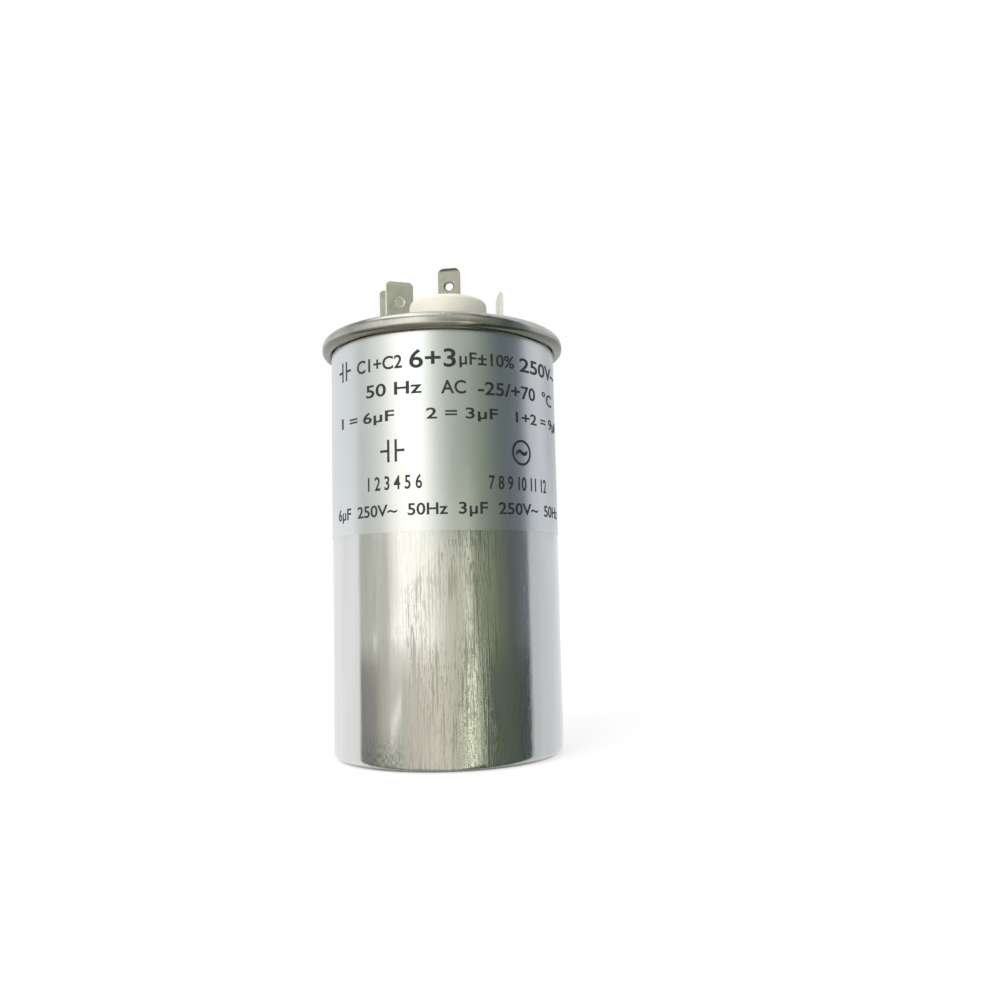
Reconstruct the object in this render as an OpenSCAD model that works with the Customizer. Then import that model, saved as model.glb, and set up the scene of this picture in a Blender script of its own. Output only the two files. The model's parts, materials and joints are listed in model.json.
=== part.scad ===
// Motor run capacitor: a drawn aluminium can closed by a double-seamed lid,
// with three terminals standing on white bushings.
// Millimetres, +Z up. The origin is the middle of the base, and -Y is the front.

/* [Can] */
// Outside diameter of the can's wall
can_d = 50; // [46:0.5:70]
// Height from the base to the crest of the rolled seam
can_h = 91.7; // [70:0.1:150]
// Thickness of the can's wall
can_t = 0.6; // [0.4:0.05:1]
// Outside radius of the corner between the wall and the base
base_r = 1.8; // [1:0.1:4]
// Free space between the filling and the lowest piece under the lid
filling_gap = 2; // [0.5:0.5:20]

/* [Rolled seam] */
// Straight length of the seam between its upper and its lower roll
seam_straight = 0.5; // [0.4:0.1:3]
// Film of sealing compound between the layers of sheet
seam_gap = 0.05; // [0.02:0.01:0.1]
// How far rolling the seam presses the can's wall inwards
seam_squeeze = 0.28; // [0.02:0.01:0.4]

/* [Lid] */
// Thickness of the lid's sheet
lid_t = 0.8; // [0.4:0.05:1]
// Depth of the lid's panel below the crest of the seam
panel_drop = 3.6; // [2:0.1:8]
// Inside radius of the countersink ring round the panel
sink_r = 0.6; // [0.3:0.1:1.2]
// Straight length between the countersink ring and the panel's bend
sink_leg = 0.3; // [0.1:0.1:3]
// Inside radius of the bend at the panel's edge
panel_bend_r = 0.3; // [0.2:0.1:1]

/* [Label] */
// Height of the label
label_h = 40.7; // [15:0.1:60]
// Thickness of the label's film
label_t = 0.06; // [0.03:0.01:0.3]
// Thickness of the adhesive under the label
label_glue = 0.02; // [0.01:0.01:0.1]
// Gap between the label and the underside of the seam
label_rim_gap = 0.2; // [0.1:0.1:10]
// Width of the gap at the back where the label's ends meet
label_joint = 1.5; // [0.5:0.1:8]

/* [Bushings] */
// Direction of the front bushing from the can's axis, in degrees
bushing_turn = 276.5; // [240:0.5:300]
// Diameter of the circle that the three bushings stand on
bushing_ring_d = 23.4; // [21.5:0.1:36]
// Height of a bushing above the lid's panel
bushing_h = 9.3; // [6:0.1:14]
// Diameter of a bushing at its foot
bushing_foot_d = 17.2; // [15:0.1:18]
// Diameter of a bushing at its top, before the edge is rounded
bushing_top_d = 16.7; // [14:0.1:18]
// Radius of a bushing's top edge
bushing_edge_r = 1; // [0.3:0.1:2]
// Diameter of the neck that passes through the lid
neck_d = 10; // [8:0.1:11]
// Length of the neck below the lid
neck_drop = 0.8; // [0.5:0.1:2]
// Radial clearance round the neck
neck_gap = 0.1; // [0.05:0.05:0.3]

/* [Gaskets] */
// Width of a gasket's ring
gasket_w = 1.6; // [1:0.1:2]
// Height of a gasket, pressed flat
gasket_t = 0.8; // [0.5:0.1:2]
// Radial clearance between a gasket and its groove
gasket_gap = 0.1; // [0.05:0.05:0.3]

/* [Washers] */
// Width of the washer's rim outside the neck
washer_rim = 1.5; // [1:0.1:2.5]
// Thickness of a washer's floor, under the end of the neck
washer_floor = 1.3; // [0.8:0.1:3]
// Free space between the end of the neck and the washer's floor
washer_gap = 0.2; // [0.1:0.1:0.5]

/* [Tabs] */
// Thickness of the tabs' sheet
tab_t = 0.8; // [0.5:0.1:1.2]
// Cut across each upper corner of a single tab
tab_corner = 1.2; // [0.3:0.1:2]
// Height of the bevel at a tab's tip
tip_bevel_h = 0.9; // [0.3:0.1:2]
// Depth of the bevel on each face of a tab's tip
tip_bevel_d = 0.22; // [0.05:0.01:0.24]
// Inside radius of the bends in the sheet
tab_bend_r = 0.5; // [0.3:0.1:1]
// Clearance between the sheet and the slots that it passes through
slot_gap = 0.1; // [0.05:0.05:0.3]

/* [Front terminal] */
// Height of the front tab above its bushing
front_tab_h = 8; // [6:0.1:14]
// Width of the front tab
front_tab_w = 4.8; // [4:0.05:9.5]
// Diameter of the front tab's detent hole
front_detent_d = 1.8; // [1:0.1:2.4]
// Distance from the front tab's tip to its detent hole
front_detent_drop = 4.1; // [3:0.1:5]
// Turn of the front tab's face from the front, in degrees
front_face_turn = -12; // [-90:1:90]
// Distance of the front tab from the middle of its tail
front_tab_shift = 0.35; // [-0.8:0.05:0.8]
// Width over the shoulders at the tab's foot
shoulder_w = 6.6; // [6:0.1:11]
// Height of the shoulders
shoulder_h = 0.9; // [0.5:0.1:2]
// Width of the tail that passes through the bushing
tail_w = 3.6; // [2.5:0.1:5]
// Length of the tail's foot, folded under the washer
tail_foot = 2.6; // [1:0.1:4]

/* [Side terminals] */
// Width of the side terminals' tabs
side_tab_w = 6.35; // [4.8:0.05:9.5]
// Diameter of the side tabs' detent holes
side_detent_d = 2; // [1.2:0.1:2.4]
// Distance from a side tab's tip to its detent hole
side_detent_drop = 4.8; // [3:0.1:5]
// Cut across each upper corner of the left terminal's two tabs
double_tab_corner = 0.7; // [0.2:0.1:2]
// Height of the left tabs above their bushing
left_tab_h = 9.4; // [7:0.1:16]
// Turn of the left tabs' faces from the front, in degrees
left_face_turn = 16; // [-90:1:90]
// Height of the right tab above its bushing
right_tab_h = 8.3; // [7:0.1:16]
// Turn of the right tab's face from the front, in degrees
right_face_turn = 96; // [0:1:180]
// Distance between the middles of two facing tabs
tab_spacing = 7; // [6.6:0.1:10]
// Distance from the rivet to the middle of the single tab
single_tab_reach = 4.3; // [3.3:0.1:6]
// Length of the single tab's base behind its rivet
base_back = 3; // [2.6:0.1:5]

/* [Rivets] */
// Diameter of a rivet's shank
rivet_d = 2.6; // [1.5:0.1:4]
// Clearance round a shank
rivet_gap = 0.08; // [0.05:0.01:0.2]
// Diameter of a rivet's domed head
rivet_head_d = 4.4; // [3.5:0.1:4.8]
// Height of a rivet's head
rivet_head_h = 1.1; // [0.6:0.1:1.8]
// Diameter of the flattened end under the washer
rivet_tail_d = 4.8; // [3.5:0.1:6]
// Thickness of the flattened end
rivet_tail_t = 0.8; // [0.4:0.1:1.5]

/* [Hidden] */
$fn = 96;

aluminium = "#c2c4c2";
lid_metal = "#a7a89f";
label_film = "#cbccca";
ivory = "#ece6d6";
rubber = "#2e2d2b";
fibre = "#cfc3a4";
tinned_brass = "#b4b39c";

// A little extra length, so that cuts pass right through
cut = 1;

can_r = can_d / 2;
can_neck_r = can_r - seam_squeeze;

// Upper roll: the cover hook lies inside the can's flange, and the lid lies over both
upper_in = lid_t / 2 + seam_gap;
upper_can = upper_in + can_t;
upper_lid = upper_can + seam_gap;
upper_out = upper_lid + lid_t;
upper_r = can_neck_r + upper_in;
upper_z = can_h - upper_out;

// Lower roll: the lid turns up round the end of the can's flange
lower_in = can_t / 2 + seam_gap;
lower_out = lower_in + lid_t;
lower_r = can_neck_r + seam_gap + lid_t + lower_in;
lower_z = upper_z - seam_straight;
seam_z = lower_z - lower_out;

// The lid from the chuck wall inwards
chuck_out = can_neck_r - can_t - seam_gap;
chuck_in = chuck_out - lid_t;
sink_mid_r = chuck_in - sink_r;
leg_in = sink_mid_r - sink_r - lid_t;
panel_flat_r = leg_in - panel_bend_r;
panel_z = can_h - panel_drop;
panel_under = panel_z - lid_t;
panel_bend_z = panel_under - panel_bend_r;
sink_z = panel_bend_z - sink_leg;

// The three bushings stand on one circle, a third of a turn apart
front_turn = bushing_turn;
right_turn = bushing_turn + 120;
left_turn = bushing_turn + 240;
bushing_z = panel_z + bushing_h;
neck_end = panel_under - neck_drop;
gasket_in_d = neck_d + 2 * gasket_gap;
gasket_out_d = gasket_in_d + 2 * gasket_w;
hole_d = neck_d + 2 * neck_gap;
washer_d = hole_d + 2 * washer_rim;
washer_z = neck_end - washer_gap - washer_floor;
shank_hole_d = rivet_d + 2 * rivet_gap;

// Filling up to just below the lowest metal under the lid
under_lid_z = washer_z - max(rivet_tail_t, tab_t);
filling_z = under_lid_z - filling_gap;

label_top = seam_z - label_rim_gap;
label_in = can_r + label_glue;
label_gap_angle = label_joint / label_in * 180 / PI;

bend_out = tab_bend_r + tab_t;

// Half or quarter of a flat ring, kept on the sides that are asked for
module ring_part(inner, outer, side = 0, level = 0) {
    intersection() {
        difference() {
            circle(outer);
            circle(inner);
        }
        translate([side > 0 ? 0 : -outer, level > 0 ? 0 : -outer])
            square([side == 0 ? 2 * outer : outer, level == 0 ? 2 * outer : outer]);
    }
}

// Rectangle of a section, from its lower left to its upper right corner
module strip(left, low, right, high) {
    translate([left, low]) square([right - left, high - low]);
}

// Copies a child to a bushing's axis, with its face turned from the front
module at_bushing(direction, face_turn = 0) {
    rotate([0, 0, direction])
        translate([bushing_ring_d / 2, 0, 0])
            rotate([0, 0, face_turn - direction]) children();
}

// Section of the can with its filling, and of the flange that is rolled into the seam
module can_section() {
    difference() {
        strip(0, 0, can_r, filling_z);
        translate([can_r - base_r, 0])
            difference() {
                translate([0, -cut]) square([base_r + cut, base_r + cut]);
                translate([0, base_r]) circle(base_r);
            }
    }
    strip(can_neck_r - can_t, filling_z - cut, can_r, label_top);
    strip(can_neck_r - can_t, label_top - cut, can_neck_r, upper_z);
    translate([upper_r, upper_z]) ring_part(upper_in, upper_can, level = 1);
    strip(upper_r + upper_in, lower_z + seam_gap, upper_r + upper_can, upper_z);
}

// Section of the lid from the cover hook to the panel
module lid_section() {
    strip(can_neck_r + seam_gap, lower_z, can_neck_r + seam_gap + lid_t, upper_z - seam_gap);
    translate([lower_r, lower_z]) ring_part(lower_in, lower_out, level = -1);
    strip(lower_r + lower_in, lower_z, lower_r + lower_out, upper_z);
    translate([upper_r, upper_z]) ring_part(upper_lid, upper_out, level = 1);
    strip(chuck_in, sink_z, chuck_out, upper_z);
    translate([sink_mid_r, sink_z]) ring_part(sink_r, sink_r + lid_t, level = -1);
    strip(leg_in, sink_z, leg_in + lid_t, panel_bend_z);
    translate([panel_flat_r, panel_bend_z])
        ring_part(panel_bend_r, panel_bend_r + lid_t, side = 1, level = 1);
    strip(0, panel_under, panel_flat_r, panel_z);
}

// Drawn cup, sealed and filled: one closed solid below its head space
module can() {
    color(aluminium) rotate_extrude() can_section();
}

module lid() {
    color(lid_metal)
        difference() {
            rotate_extrude() lid_section();
            for (direction = [front_turn, left_turn, right_turn])
                at_bushing(direction)
                    translate([0, 0, panel_under - cut])
                        cylinder(h = lid_t + 2 * cut, d = hole_d);
        }
}

// Film wrapped round the upper half of the can, with its ends at the back
module label() {
    color(label_film)
        rotate([0, 0, 90 + label_gap_angle / 2])
            rotate_extrude(angle = 360 - label_gap_angle)
                strip(label_in, label_top - label_h, label_in + label_t, label_top);
}

// Half section of a bushing: tapered body, rounded edge, neck and gasket groove
module bushing_section() {
    top_r = bushing_top_d / 2;
    foot_r = bushing_foot_d / 2;
    edge_z = bushing_z - bushing_edge_r;
    difference() {
        union() {
            polygon([[0, panel_z], [foot_r, panel_z], [top_r, edge_z], [0, edge_z]]);
            strip(0, edge_z - cut, top_r - bushing_edge_r, bushing_z);
            translate([top_r - bushing_edge_r, edge_z])
                ring_part(0, bushing_edge_r, side = 1, level = 1);
            strip(0, neck_end, neck_d / 2, panel_z + cut);
        }
        strip(neck_d / 2, panel_z - cut, gasket_out_d / 2 + gasket_gap, panel_z + gasket_t);
    }
}

// Moulded bushing, bored for a rivet or slotted for a flat tail
module bushing(slotted = false) {
    through = bushing_z - neck_end + 2 * cut;
    color(ivory)
        difference() {
            rotate_extrude() bushing_section();
            translate([0, 0, neck_end - cut])
                if (slotted) {
                    linear_extrude(through)
                        square([tail_w + 2 * slot_gap, tab_t + 2 * slot_gap], center = true);
                } else {
                    cylinder(h = through, d = shank_hole_d);
                }
        }
}

// Rubber ring between a bushing's foot and the lid
module gasket() {
    color(rubber)
        translate([0, 0, panel_z])
            rotate_extrude()
                strip(gasket_in_d / 2, 0, gasket_out_d / 2, gasket_t);
}

// Insulating cup washer that clamps the lid from below
module washer(slotted = false) {
    slot = [tail_w + 2 * slot_gap, tab_t + 2 * (tab_bend_r + slot_gap)];
    color(fibre)
        difference() {
            rotate_extrude()
                difference() {
                    strip(0, washer_z, washer_d / 2, panel_under);
                    strip(-cut, neck_end - washer_gap, hole_d / 2, panel_under + cut);
                }
            translate([0, 0, washer_z - cut])
                if (slotted) {
                    linear_extrude(washer_floor + 2 * cut) square(slot, center = true);
                } else {
                    cylinder(h = washer_floor + 2 * cut, d = shank_hole_d);
                }
        }
}

// Stands a flat outline up as a sheet, thick to both sides of its plane
module upright(thick) {
    rotate([90, 0, 0])
        translate([0, 0, -thick / 2]) linear_extrude(thick) children();
}

// Outline of a tab from its foot to its cut corners
module tab_outline(tab_w, tab_h, corner, foot = 0) {
    half = tab_w / 2;
    polygon([
        [-half, foot], [half, foot],
        [half, tab_h - corner], [half - corner, tab_h],
        [corner - half, tab_h], [-half, tab_h - corner]
    ]);
}

// Section across a tab's thickness, bevelled at the tip
module tab_edge(tab_h, foot) {
    half = tab_t / 2;
    bevel_z = tab_h - tip_bevel_h;
    polygon([
        [-half, foot], [half, foot],
        [half, bevel_z], [half - tip_bevel_d, tab_h],
        [tip_bevel_d - half, tab_h], [-half, bevel_z]
    ]);
}

// Hole across a terminal that the mating receptacle snaps into
module detent_hole(height, diameter, reach) {
    translate([0, 0, height])
        rotate([90, 0, 0]) cylinder(h = 2 * reach, d = diameter, center = true);
}

// Tab with shoulders on the bushing and a tail folded under the washer
module straight_terminal(tab_h) {
    tail_z = washer_z - bushing_z;
    color(tinned_brass)
        translate([0, 0, bushing_z]) {
            translate([front_tab_shift, 0, 0])
                difference() {
                    intersection() {
                        upright(2 * tab_t)
                            union() {
                                tab_outline(front_tab_w, tab_h, tab_corner);
                                strip(-shoulder_w / 2, 0, shoulder_w / 2, shoulder_h);
                            }
                        rotate([90, 0, 90])
                            translate([0, 0, -shoulder_w])
                                linear_extrude(2 * shoulder_w) tab_edge(tab_h, 0);
                    }
                    detent_hole(tab_h - front_detent_drop, front_detent_d, cut);
                }
            rotate([90, 0, 90])
                translate([0, 0, -tail_w / 2])
                    linear_extrude(tail_w) {
                        strip(-tab_t / 2, tail_z + tab_bend_r, tab_t / 2, shoulder_h / 2);
                        translate([tab_t / 2 + tab_bend_r, tail_z + tab_bend_r])
                            ring_part(tab_bend_r, bend_out, side = -1, level = -1);
                        strip(tab_t / 2 + tab_bend_r, tail_z - tab_t,
                              tab_t / 2 + tab_bend_r + tail_foot, tail_z);
                    }
        }
}

// Section of one leg of a riveted terminal: half base, bend and tab
module leg_section(tab_h, tab_mid) {
    bend_mid = tab_mid - tab_t / 2 - tab_bend_r;
    strip(0, 0, bend_mid, tab_t);
    translate([bend_mid, bend_out]) ring_part(tab_bend_r, bend_out, side = 1, level = -1);
    translate([tab_mid, 0]) tab_edge(tab_h, bend_out);
}

// Riveted terminal: folded sheet with a tab at its front, and at its back if double
module folded_terminal(tab_h, tab_mid, corner, double = false) {
    reach = tab_mid + base_back;
    color(tinned_brass)
        translate([0, 0, bushing_z])
            difference() {
                intersection() {
                    rotate([90, 0, -90])
                        translate([0, 0, -side_tab_w])
                            linear_extrude(2 * side_tab_w) {
                                leg_section(tab_h, tab_mid);
                                if (double) mirror([1, 0]) leg_section(tab_h, tab_mid);
                                else strip(-base_back, 0, cut, tab_t);
                            }
                    upright(2 * reach) tab_outline(side_tab_w, tab_h, corner, -cut);
                }
                detent_hole(tab_h - side_detent_drop, side_detent_d, reach);
                translate([0, 0, -cut]) cylinder(h = tab_t + 2 * cut, d = shank_hole_d);
            }
}

// Half section of a rivet: domed head, shank and flattened end
module rivet_section() {
    seat = bushing_z + tab_t;
    head_r = rivet_head_d / 2;
    dome_r = (head_r * head_r + rivet_head_h * rivet_head_h) / (2 * rivet_head_h);
    strip(0, washer_z - rivet_tail_t, rivet_tail_d / 2, washer_z);
    strip(0, washer_z - rivet_tail_t, rivet_d / 2, seat + rivet_head_h / 2);
    intersection() {
        translate([0, seat + rivet_head_h - dome_r]) circle(dome_r);
        strip(0, seat, rivet_head_d, seat + 2 * rivet_head_h);
    }
}

module rivet() {
    color(tinned_brass) rotate_extrude() rivet_section();
}

can();
lid();
label();
at_bushing(front_turn, front_face_turn) bushing(slotted = true);  // bushing_front
at_bushing(left_turn) bushing();  // bushing_left
at_bushing(right_turn) bushing();  // bushing_right
at_bushing(front_turn) gasket();  // gasket_front
at_bushing(left_turn) gasket();  // gasket_left
at_bushing(right_turn) gasket();  // gasket_right
at_bushing(front_turn, front_face_turn) washer(slotted = true);  // washer_front
at_bushing(left_turn) washer();  // washer_left
at_bushing(right_turn) washer();  // washer_right
at_bushing(front_turn, front_face_turn) straight_terminal(front_tab_h);  // terminal_front
at_bushing(left_turn, left_face_turn)  // terminal_left
        folded_terminal(left_tab_h, tab_spacing / 2, double_tab_corner, double = true);
at_bushing(right_turn, right_face_turn)  // terminal_right
        folded_terminal(right_tab_h, single_tab_reach, tab_corner);
at_bushing(left_turn) rivet();  // rivet_left
at_bushing(right_turn) rivet();  // rivet_right
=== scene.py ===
# %% [markdown]
# # A motor run capacitor
# A silver can the size of a small drinks tin stands beside an electric motor and helps it to turn. This
# lesson dresses its exact solids: each piece that shows is modelled again with fine edges, and gets its
# finish. The solids come first, because every later piece takes its size and place from them.

# %% Load the solids
import json
import math

import bpy
from mathutils import Matrix, Vector

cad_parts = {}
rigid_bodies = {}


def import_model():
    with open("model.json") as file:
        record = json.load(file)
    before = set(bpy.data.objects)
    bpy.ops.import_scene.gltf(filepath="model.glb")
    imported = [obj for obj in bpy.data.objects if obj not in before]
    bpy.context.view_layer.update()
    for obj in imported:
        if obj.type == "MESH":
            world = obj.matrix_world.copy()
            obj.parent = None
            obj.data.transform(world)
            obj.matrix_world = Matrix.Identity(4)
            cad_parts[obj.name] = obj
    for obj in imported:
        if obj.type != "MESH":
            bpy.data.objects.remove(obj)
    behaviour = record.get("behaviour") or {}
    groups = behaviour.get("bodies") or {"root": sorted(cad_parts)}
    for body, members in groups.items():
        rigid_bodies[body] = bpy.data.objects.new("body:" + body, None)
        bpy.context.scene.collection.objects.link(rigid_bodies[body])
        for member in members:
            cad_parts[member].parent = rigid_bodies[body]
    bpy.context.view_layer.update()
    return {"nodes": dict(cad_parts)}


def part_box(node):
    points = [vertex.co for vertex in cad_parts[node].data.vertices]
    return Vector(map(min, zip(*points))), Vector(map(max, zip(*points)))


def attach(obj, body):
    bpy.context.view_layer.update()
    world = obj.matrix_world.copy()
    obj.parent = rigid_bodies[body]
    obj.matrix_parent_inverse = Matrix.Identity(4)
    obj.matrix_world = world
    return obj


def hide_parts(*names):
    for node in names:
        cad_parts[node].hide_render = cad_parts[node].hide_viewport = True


for leftover in list(bpy.data.objects):
    bpy.data.objects.remove(leftover)
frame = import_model()
bpy.context.scene.view_settings.view_transform = "Standard"

# All sizes below are written in millimetres and turned into Blender's metres by this factor
MM = 0.001

# %% [markdown]
# ## The camera
# The picture was taken from close by, a little above the middle of the can's lower half and looking
# slightly up. A close camera makes the can narrow towards its foot. The distance, height and angles below
# were fitted to the can's outline, so the render can be laid over the picture.

# %% Place the camera
CAMERA_BACK = 214.8 * MM
CAMERA_UP = 33.7 * MM
CAMERA_YAW = math.radians(3.28)
CAMERA_PITCH = math.radians(5.82)
CAMERA_ROLL = math.radians(-1.35)
FOCAL_PIXELS = 957.8
IMAGE_PIXELS = 1000
CLIP_START = 10 * MM

bpy.ops.object.camera_add(location=(0, -CAMERA_BACK, CAMERA_UP))
camera = bpy.context.object
camera.data.lens = camera.data.sensor_width * FOCAL_PIXELS / IMAGE_PIXELS
camera.data.clip_start = CLIP_START
level_view = Matrix.Rotation(math.pi / 2 + CAMERA_PITCH, 3, "X")
turned_view = Matrix.Rotation(-CAMERA_YAW, 3, "Z") @ level_view @ Matrix.Rotation(CAMERA_ROLL, 3, "Z")
camera.rotation_euler = turned_view.to_euler()
bpy.context.scene.camera = camera
print("lens in mm:", round(camera.data.lens, 1))

# %% [markdown]
# ## Drawing an outline and spinning it
# Nearly everything here was turned, drawn or rolled, so it is round about an axis. By hand one would
# extrude a single vertex from point to point to draw half of the section, and then spin that line about
# the axis. The helpers below do the same with the same operators, and an arc gives the points of each
# rounded stretch.

# %% Helpers for selecting and drawing
def select_only(piece):
    """Makes one object the only one that operators act on."""
    bpy.ops.object.select_all(action="DESELECT")
    piece.select_set(True)
    bpy.context.view_layer.objects.active = piece


def edit_all(piece):
    """Opens a piece in edit mode with everything selected."""
    select_only(piece)
    bpy.ops.object.mode_set(mode="EDIT")
    bpy.ops.mesh.select_all(action="SELECT")


def select_points(piece, wanted):
    """Selects the vertices whose place passes the test, and stays in edit mode."""
    bpy.ops.mesh.select_mode(type="VERT")
    bpy.ops.mesh.select_all(action="DESELECT")
    bpy.ops.object.mode_set(mode="OBJECT")
    for vertex in piece.data.vertices:
        vertex.select = wanted(vertex.co)
    bpy.ops.object.mode_set(mode="EDIT")


def arc(middle, radius, start, end, steps=12):
    """Points of an arc from one angle to another, in degrees from the outward direction."""
    angles = [math.radians(start + (end - start) * step / steps) for step in range(steps + 1)]
    return [(middle[0] + radius * math.cos(a), middle[1] + radius * math.sin(a)) for a in angles]


def line(start, end, steps):
    """Points along a straight stretch, both ends included."""
    return [tuple(a + (b - a) * step / steps for a, b in zip(start, end)) for step in range(steps + 1)]


def draw(name, points, across="X"):
    """Draws an outline in millimetres by extruding a vertex from point to point, in the XZ or YZ plane."""
    bpy.ops.object.select_all(action="DESELECT")
    bpy.ops.mesh.primitive_plane_add(size=MM)
    piece = bpy.context.object
    piece.name = name
    edit_all(piece)
    bpy.ops.mesh.merge(type="CENTER")
    places = [Vector((a, 0, z)) if across == "X" else Vector((0, a, z)) for a, z in points]
    bpy.ops.transform.translate(value=places[0] * MM)
    for here, there in zip(places, places[1:]):
        bpy.ops.mesh.extrude_vertices_move(TRANSFORM_OT_translate={"value": (there - here) * MM})
    bpy.ops.object.mode_set(mode="OBJECT")
    return piece


# %% Helpers for spinning and cutting
SPIN_STEPS = 224
MERGE_DISTANCE = 0.002 * MM


def tidy_mesh(piece):
    """Merges doubled points, so that seams and poles close, and turns the faces outwards."""
    edit_all(piece)
    bpy.ops.mesh.remove_doubles(threshold=MERGE_DISTANCE)
    bpy.ops.mesh.normals_make_consistent(inside=False)
    bpy.ops.object.mode_set(mode="OBJECT")


def spin(piece, angle=2 * math.pi, steps=SPIN_STEPS):
    """Spins a drawn outline about the Z axis."""
    edit_all(piece)
    bpy.ops.mesh.spin(steps=steps, angle=angle, center=(0, 0, 0), axis=(0, 0, 1))
    bpy.ops.object.mode_set(mode="OBJECT")
    tidy_mesh(piece)
    return piece


def modify(piece, kind, **settings):
    """Adds a modifier, sets it and applies it."""
    select_only(piece)
    bpy.ops.object.modifier_add(type=kind)
    modifier = piece.modifiers[-1]
    for setting, value in settings.items():
        setattr(modifier, setting, value)
    bpy.ops.object.modifier_apply(modifier=modifier.name)


def cut_away(piece, cutter, keep_inside=False):
    """Cuts a piece with another one, which is then thrown away."""
    operation = "INTERSECT" if keep_inside else "DIFFERENCE"
    modify(piece, "BOOLEAN", operation=operation, object=cutter, solver="EXACT")
    bpy.data.objects.remove(cutter)


# %% Helpers for placing and dressing
CREASE_ANGLE = math.radians(35)


def move_to(piece, place, turn=0):
    """Turns a piece about Z, moves it to its place and applies both to its mesh."""
    select_only(piece)
    piece.rotation_euler.z = turn
    piece.location = place
    bpy.ops.object.transform_apply(location=True, rotation=True, scale=True)


def dress(piece, material, node=None):
    """Shades a finished piece, gives it its material and lets it ride on the part."""
    select_only(piece)
    bpy.ops.object.shade_smooth_by_angle(angle=CREASE_ANGLE)
    piece.data.materials.clear()
    piece.data.materials.append(material)
    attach(piece, "root")
    if node:
        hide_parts(node)
    print(piece.name, "faces:", len(piece.data.polygons))


# %% [markdown]
# ## Building a finish from nodes
# A finish is a shader with a few patterns wired into it. The patterns read Object coordinates, which are
# metres on the piece, so a noise of scale 1000 has grains of about one millimetre. Stretching the
# coordinates before the noise pulls the grains into lines, which is how the marks of a drawing die or a
# roller are made.

# %% Helpers for materials and nodes
def start_finish(name, **constants):
    """A new material and its nodes, with the values that are the same all over set on its shader."""
    material = bpy.data.materials.new(name)
    material.use_nodes = True
    shader = material.node_tree.nodes["Principled BSDF"]
    for socket, value in constants.items():
        shader.inputs[socket.replace("_", " ").title()].default_value = value
    return material, material.node_tree


def add(tree, kind, values=None, **settings):
    """Adds one node, with its settings and its inputs: a value, or another node's output to wire in."""
    node = tree.nodes.new("ShaderNode" + kind)
    for setting, value in settings.items():
        setattr(node, setting, value)
    for socket, value in (values or {}).items():
        if isinstance(value, bpy.types.NodeSocket):
            tree.links.new(value, node.inputs[socket])
        else:
            node.inputs[socket].default_value = value
    return node


# %% Helpers for patterns
def grains(tree, scale, stretch=(1, 1, 1), detail=3, turn=(0, 0, 0), vector=None):
    """Noise with the given grains in a metre, after the coordinates are turned and stretched."""
    place = vector or add(tree, "TexCoord").outputs["Object"]
    mapped = add(tree, "Mapping", {"Vector": place, "Scale": stretch, "Rotation": turn})
    noise = add(tree, "TexNoise", {"Vector": mapped.outputs["Vector"], "Scale": scale, "Detail": detail})
    return noise.outputs["Fac"]


def spread(tree, value, low, high, start=0.3, end=0.7):
    """Spreads a stretch of a pattern's values over the range from low to high."""
    ranged = add(tree, "MapRange", {0: value, 1: start, 2: end, 3: low, 4: high})
    return ranged.outputs[0]


def combine(tree, operation, first, second=0.0):
    """Result of one step of arithmetic on two patterns or values."""
    return add(tree, "Math", {0: first, 1: second}, operation=operation).outputs[0]


def times(tree, first, second):
    """Product of two patterns."""
    return combine(tree, "MULTIPLY", first, second)


def tones(tree, value, *stops):
    """Colours along a pattern's values, as (value, colour) stops."""
    ramp = add(tree, "ValToRGB", {"Fac": value})
    elements = ramp.color_ramp.elements
    while len(elements) < len(stops):
        elements.new(0.5)
    for element, (position, colour) in zip(elements, stops):
        element.position = position
        element.color = (*colour, 1)
    return ramp.outputs["Color"]


def blend(tree, amount, under, over):
    """Lays one colour over another where the amount says so."""
    mixed = add(tree, "Mix", {"Factor": amount, "A": under, "B": over}, data_type="RGBA")
    return mixed.outputs["Result"]


def relief(tree, height, depth, below=None):
    """Bump of a depth in metres, on top of another bump."""
    values = {"Height": height, "Strength": 1, "Distance": depth}
    if below:
        values["Normal"] = below
    return add(tree, "Bump", values).outputs["Normal"]


# %% Helpers for coordinates and wiring
def axes(tree):
    """The three Object coordinates, each as a pattern."""
    place = add(tree, "SeparateXYZ", {0: add(tree, "TexCoord").outputs["Object"]})
    return place.outputs["X"], place.outputs["Y"], place.outputs["Z"]


def join_axes(tree, **patterns):
    """Coordinates made of the patterns given for some axes."""
    return add(tree, "CombineXYZ", patterns).outputs[0]


def unrolled(tree):
    """Coordinates of the can's wall laid flat: along its girth, and up."""
    x, y, z = axes(tree)
    angle = combine(tree, "ARCTAN2", x, times(tree, y, -1.0))
    return join_axes(tree, X=times(tree, angle, WALL_R * MM), Z=z)


def wire(material, colour, roughness, normal=None):
    """Connects the patterns of a finish to its shader."""
    tree = material.node_tree
    shader = tree.nodes["Principled BSDF"]
    tree.links.new(colour, shader.inputs["Base Color"])
    tree.links.new(roughness, shader.inputs["Roughness"])
    if normal:
        tree.links.new(normal, shader.inputs["Normal"])
    print(material.name, "nodes:", len(tree.nodes))


# %% [markdown]
# ## The drawn can
# The can is pressed from one aluminium disc through a ring. That leaves long upright lines, short
# scratches where the finished cans rubbed together, and a wall that is never perfectly even, so
# reflections waver in it. The lines are made by a noise that is stretched upwards, and the unevenness is
# real: the wall is pushed in by up to a few hundredths of a millimetre. Handling has left a worn,
# sparkling strip at the front, whose paler tone is partly a painted highlight. A dark mottled patch beside
# the foot is a painted reflection, and painted shade darkens the foot itself.

# %% Marks and wear of the drawn aluminium
WALL_R = 25.0

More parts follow.
